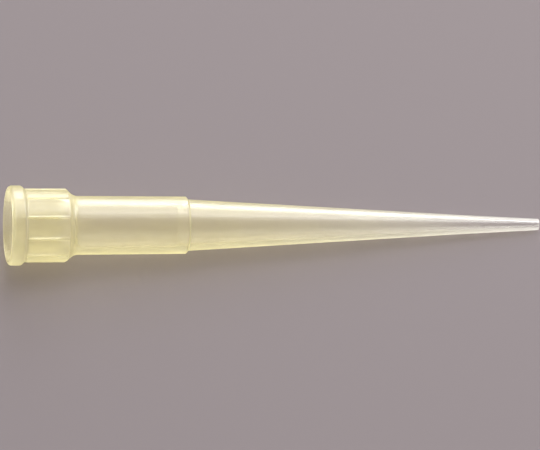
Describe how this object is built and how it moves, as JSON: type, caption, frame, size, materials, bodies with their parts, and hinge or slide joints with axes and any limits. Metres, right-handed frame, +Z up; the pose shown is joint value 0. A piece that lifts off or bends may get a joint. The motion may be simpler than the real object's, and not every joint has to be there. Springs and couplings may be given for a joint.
{
  "type": "pipette tip",
  "caption": "Yellow translucent disposable pipette tip: a hollow tapered tube with a ribbed collar and a beaded mouth at one end and a fine orifice at the other.",
  "frame": {"origin": "on the surface that the tip lies on, below the middle of its box", "axes": "+X along the surface from the mouth to the point, +Z up; the tip's own axis drops towards the point by 3.75 degrees, as it does when it lies on its bead and its point"},
  "size_m": [0.0512, 0.0076, 0.0076],
  "materials": {
    "polypropylene": "translucent yellow, semi-gloss, as moulded"
  },
  "bodies": {
    "root": {"pipette_tip": "polypropylene"}
  },
  "joints": []
}
